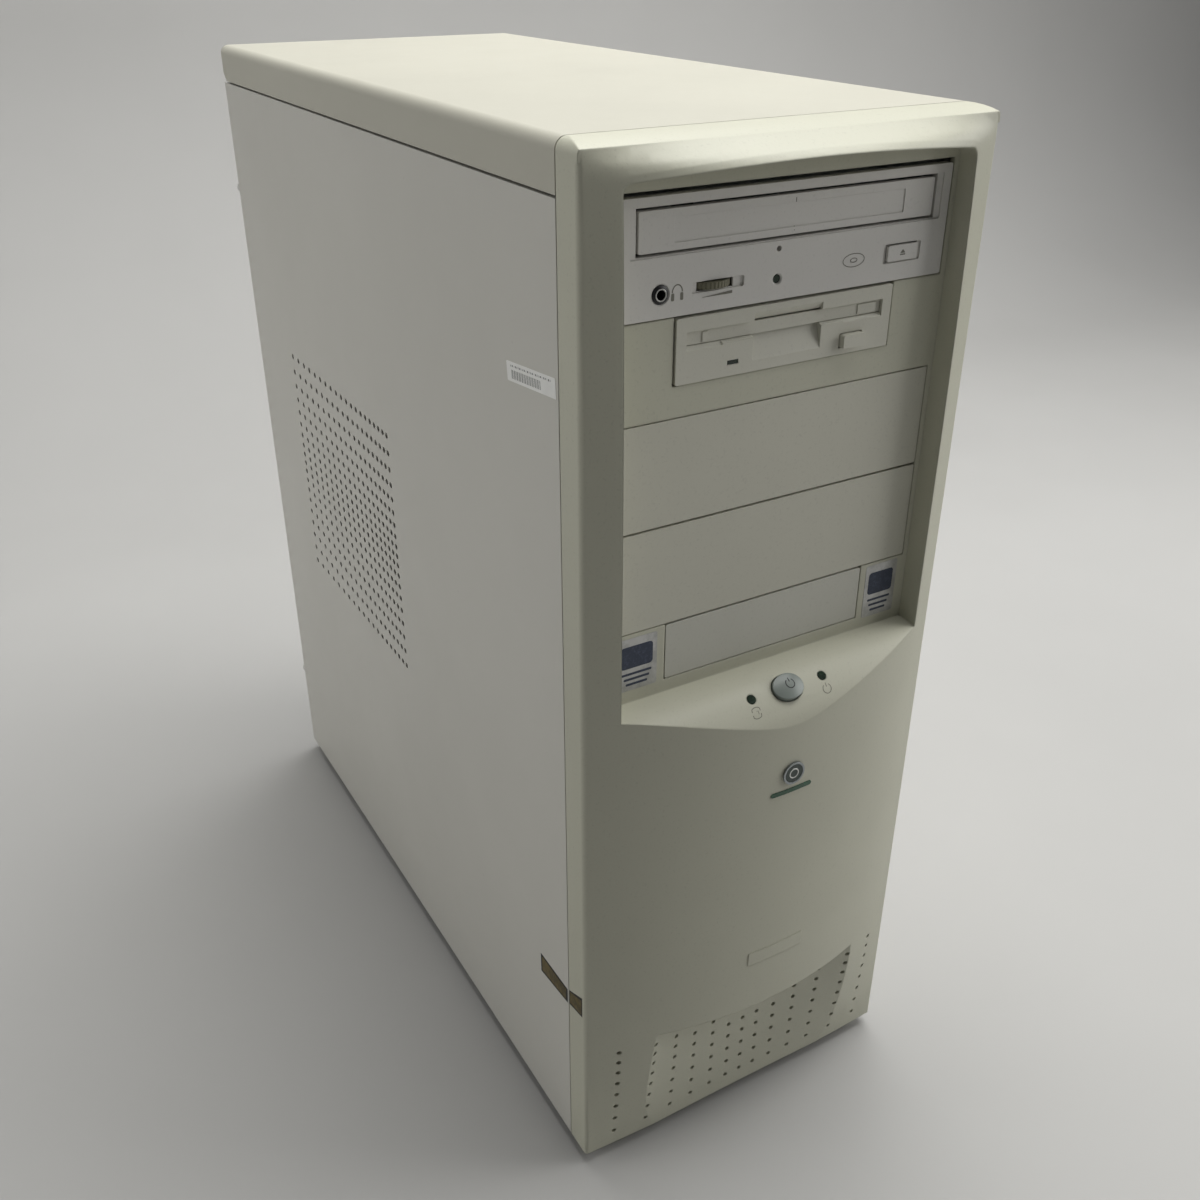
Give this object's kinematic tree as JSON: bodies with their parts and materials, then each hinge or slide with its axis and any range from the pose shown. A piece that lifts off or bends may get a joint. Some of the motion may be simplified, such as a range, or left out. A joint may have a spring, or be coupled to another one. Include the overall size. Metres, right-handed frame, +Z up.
{
  "type": "desktop computer tower",
  "caption": "Desktop computer tower with a bowed front, drive bays, disc tray, diskette drive, power button, cooling fans and a sliding side cover.",
  "frame": {"origin": "on the table, under the middle of the tower's overall box", "axes": "+Z up, the front faces -Y, +X is to the right of someone who looks at the front"},
  "size_m": [0.184, 0.4448, 0.4868],
  "materials": {
    "bezel_plastic": "fine moulded texture, warm grey",
    "cover_paint": "textured powder paint, cream",
    "panel_paint": "textured powder paint, cooler grey",
    "chassis_steel": "galvanised sheet",
    "drive_steel": "bright zinc-plated sheet",
    "drive_plastic": "fine moulded texture, light grey",
    "button_plastic": "grey-green, satin",
    "dark_plastic": "black moulded plastic",
    "lens_plastic": "dark tinted lens",
    "badge_metal": "satin",
    "screw_steel": "plated steel",
    "foot_rubber": "grey rubber",
    "red_plastic": "red",
    "board_green": "circuit board with solder mask",
    "board_brown": "bare circuit board and its parts",
    "socket_plastic": "moulded connectors",
    "heatsink_aluminium": "cast and extruded",
    "port_metal": "nickel-plated shells and brackets",
    "ribbon_plastic": "grey flat cable",
    "wire_plastic": "bundled coloured wires"
  },
  "bodies": {
    "case": {"bay_cover_lower": "bezel_plastic", "bay_cover_small": "bezel_plastic", "bay_cover_upper": "bezel_plastic", "board_chips": "dark_plastic", "board_ports": "port_metal", "board_sockets": "socket_plastic", "board_standoffs": "screw_steel", "board_tray": "chassis_steel", "case_screws": "screw_steel", "cd_drive_bezel": "drive_plastic", "cd_drive_case": "drive_steel", "chassis_front": "chassis_steel", "chassis_pan": "chassis_steel", "chassis_rails": "chassis_steel", "chassis_rear": "chassis_steel", "cpu_fan_frame": "dark_plastic", "drive_cage_large": "chassis_steel", "drive_cage_small": "chassis_steel", "drive_ribbon": "ribbon_plastic", "drive_screws": "screw_steel", "fan_frames": "dark_plastic", "feet": "foot_rubber", "floppy_drive_bezel": "drive_plastic", "floppy_drive_case": "drive_steel", "floppy_ribbon": "ribbon_plastic", "front_badge": "badge_metal", "front_bezel": "bezel_plastic", "hard_disk": "heatsink_aluminium", "headphone_board": "dark_plastic", "indicator_lenses": "lens_plastic", "io_shield": "port_metal", "memory_modules": "board_green", "motherboard": "board_green", "power_harness": "wire_plastic", "power_inlet": "dark_plastic", "power_switch": "dark_plastic", "processor_cartridge": "dark_plastic", "processor_heatsink": "heatsink_aluminium", "psu_board": "board_brown", "psu_case": "drive_steel", "psu_fan_guard": "screw_steel", "right_side_panel": "panel_paint", "slot_covers": "port_metal", "sound_card": "board_green", "speaker": "dark_plastic", "top_cover": "cover_paint", "video_card": "board_green"},
    "power_button": {"power_button": "button_plastic"},
    "cd_tray": {"cd_tray": "drive_plastic"},
    "cd_eject_button": {"cd_eject_button": "drive_plastic"},
    "volume_wheel": {"volume_wheel": "dark_plastic"},
    "cd_spindle": {"cd_spindle": "dark_plastic"},
    "floppy_flap": {"floppy_flap": "drive_plastic"},
    "floppy_eject_button": {"floppy_eject_button": "drive_plastic"},
    "psu_fan": {"psu_fan": "dark_plastic"},
    "case_fan": {"case_fan": "dark_plastic"},
    "cpu_fan": {"cpu_fan": "dark_plastic"},
    "voltage_selector": {"voltage_selector": "red_plastic"},
    "left_side_panel": {"left_side_panel": "panel_paint", "panel_screws": "screw_steel"}
  },
  "joints": [
    {"name": "power_button_press", "type": "slide", "parent": "case", "child": "power_button", "axis": [0, 0.6018, -0.7986], "range_m": [0, 0.0025], "stiffness_N_per_m": 400, "springref_m": -0.002},
    {"name": "cd_tray_slide", "type": "slide", "parent": "case", "child": "cd_tray", "axis": [0, -1, 0], "range_m": [0, 0.14]},
    {"name": "cd_eject_press", "type": "slide", "parent": "case", "child": "cd_eject_button", "axis": [0, 1, 0], "range_m": [0, 0.001], "stiffness_N_per_m": 400, "springref_m": -0.001},
    {"name": "volume_turn", "type": "hinge", "parent": "case", "child": "volume_wheel", "pos_m": [-0.0342, -0.18702, 0.434], "axis": [0, 0, 1], "range_deg": [-135, 135]},
    {"name": "cd_spindle_spin", "type": "hinge", "parent": "case", "child": "cd_spindle", "pos_m": [0, -0.10393, 0.442], "axis": [0, 0, 1], "continuous": true},
    {"name": "floppy_flap_swing", "type": "hinge", "parent": "case", "child": "floppy_flap", "pos_m": [0, -0.19362, 0.4176], "axis": [1, 0, 0], "range_deg": [0, 85], "stiffness_Nm_per_rad": 0.0005, "springref_deg": -28.65},
    {"name": "floppy_eject_press", "type": "slide", "parent": "case", "child": "floppy_eject_button", "axis": [0, 1, 0], "range_m": [0, 0.0025], "stiffness_N_per_m": 400, "springref_m": -0.002},
    {"name": "psu_fan_spin", "type": "hinge", "parent": "case", "child": "psu_fan", "pos_m": [-0.027, 0.20108, 0.436], "axis": [0, 1, 0], "continuous": true},
    {"name": "case_fan_spin", "type": "hinge", "parent": "case", "child": "case_fan", "pos_m": [-0.042, 0.20208, 0.346], "axis": [0, 1, 0], "continuous": true},
    {"name": "cpu_fan_spin", "type": "hinge", "parent": "case", "child": "cpu_fan", "pos_m": [0.038, 0.09707, 0.19], "axis": [0, 0, 1], "continuous": true},
    {"name": "voltage_selector_slide", "type": "slide", "parent": "case", "child": "voltage_selector", "axis": [1, 0, 0], "range_m": [0, 0.0062]},
    {"name": "left_panel_slide", "type": "slide", "parent": "case", "child": "left_side_panel", "axis": [0, 1, 0], "range_m": [0, 0.022]}
  ]
}
